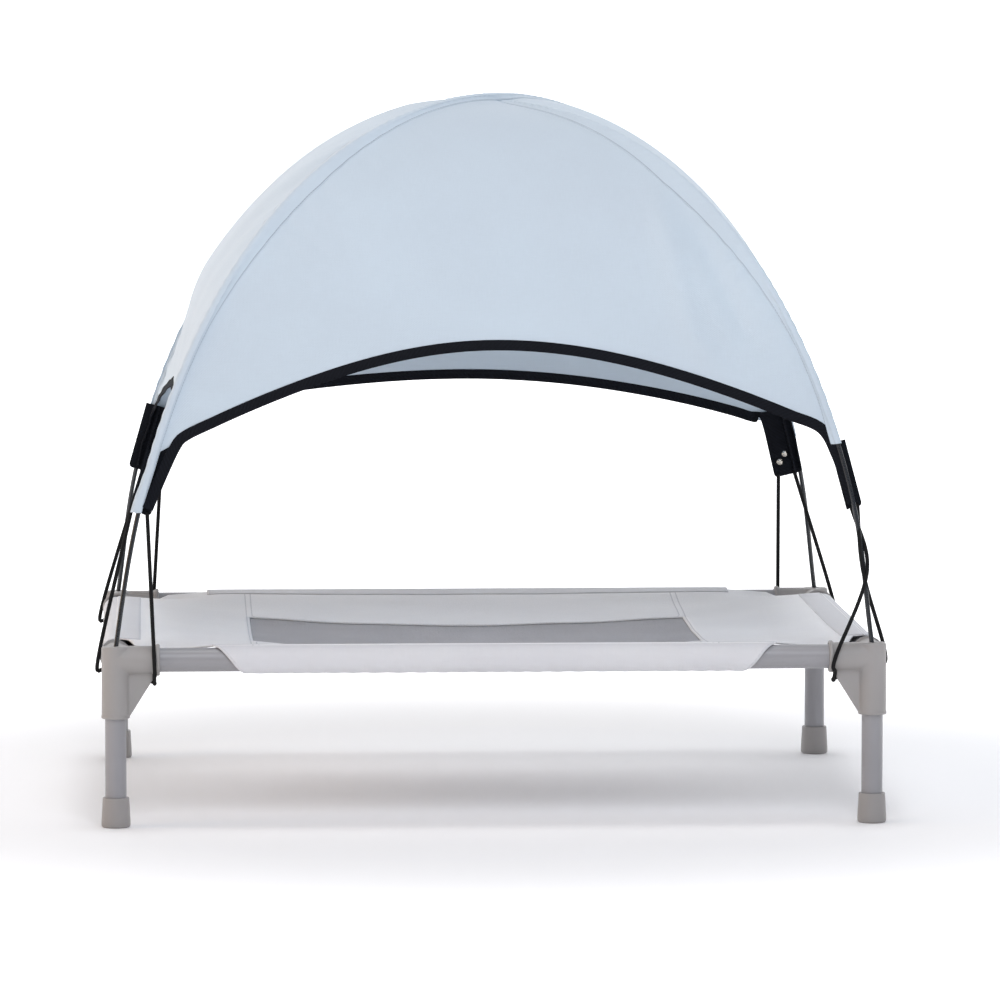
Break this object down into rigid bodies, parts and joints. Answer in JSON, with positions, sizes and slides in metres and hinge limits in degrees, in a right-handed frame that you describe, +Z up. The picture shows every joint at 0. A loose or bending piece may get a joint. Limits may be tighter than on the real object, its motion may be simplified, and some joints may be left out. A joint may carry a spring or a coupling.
{
  "type": "raised pet cot with shade canopy",
  "caption": "Raised pet cot on tube legs with a slung cloth and mesh bed, under a clip-on shade canopy on crossing bent poles held down by elastic loops.",
  "frame": {"origin": "on the floor, at the centre of the rectangle of the four feet", "axes": "+X along the cot's long side, to the right as seen from the front; +Y to the rear; +Z up"},
  "size_m": [0.8273, 0.6494, 0.7521],
  "materials": {
    "moulded_plastic": "moulded, fine texture",
    "painted_tube": "powder coat, satin",
    "cover_cloth": "plain-weave coated polyester",
    "mesh_cloth": "open knitted mesh",
    "canopy_cloth": "thin plain-weave polyester",
    "black_tape": "woven tape",
    "black_fibreglass": "smooth rod",
    "bright_steel": "bright",
    "black_elastic": "braided cover"
  },
  "bodies": {
    "cot": {"bed_cover": "cover_cloth", "bed_mesh_panel": "mesh_cloth", "corner_fitting_front_left": "moulded_plastic", "corner_fitting_front_right": "moulded_plastic", "corner_fitting_rear_left": "moulded_plastic", "corner_fitting_rear_right": "moulded_plastic", "cover_sleeve_front": "cover_cloth", "cover_sleeve_left": "cover_cloth", "cover_sleeve_rear": "cover_cloth", "cover_sleeve_right": "cover_cloth", "foot_front_left": "moulded_plastic", "foot_front_right": "moulded_plastic", "foot_rear_left": "moulded_plastic", "foot_rear_right": "moulded_plastic", "leg_front_left": "painted_tube", "leg_front_right": "painted_tube", "leg_rear_left": "painted_tube", "leg_rear_right": "painted_tube", "rail_front": "painted_tube", "rail_left": "painted_tube", "rail_rear": "painted_tube", "rail_right": "painted_tube"},
    "canopy": {"elastic_loop_front_left": "black_elastic", "elastic_loop_front_right": "black_elastic", "elastic_loop_rear_left": "black_elastic", "elastic_loop_rear_right": "black_elastic", "gore_front": "canopy_cloth", "gore_left": "canopy_cloth", "gore_rear": "canopy_cloth", "gore_right": "canopy_cloth", "hem_tape_front": "black_tape", "hem_tape_left": "black_tape", "hem_tape_rear": "black_tape", "hem_tape_right": "black_tape", "pole_a_ferrule_1": "bright_steel", "pole_a_ferrule_2": "bright_steel", "pole_a_section_1": "black_fibreglass", "pole_a_section_2": "black_fibreglass", "pole_a_section_3": "black_fibreglass", "pole_a_sleeve": "canopy_cloth", "pole_b_ferrule_1": "bright_steel", "pole_b_ferrule_2": "bright_steel", "pole_b_section_1": "black_fibreglass", "pole_b_section_2": "black_fibreglass", "pole_b_section_3": "black_fibreglass", "pole_b_sleeve": "canopy_cloth", "rivet_front_left_1": "bright_steel", "rivet_front_left_2": "bright_steel", "rivet_front_right_1": "bright_steel", "rivet_front_right_2": "bright_steel", "rivet_rear_left_1": "bright_steel", "rivet_rear_left_2": "bright_steel", "rivet_rear_right_1": "bright_steel", "rivet_rear_right_2": "bright_steel", "tab_front_left": "black_tape", "tab_front_right": "black_tape", "tab_rear_left": "black_tape", "tab_rear_right": "black_tape"}
  },
  "joints": [
    {"name": "canopy_lift", "type": "slide", "parent": "cot", "child": "canopy", "axis": [0, 0, 1], "range_m": [0, 0.06], "stiffness_N_per_m": 300, "springref_m": -0.02, "deforming": ["elastic_loop_front_left", "elastic_loop_front_right", "elastic_loop_rear_left", "elastic_loop_rear_right"]}
  ]
}
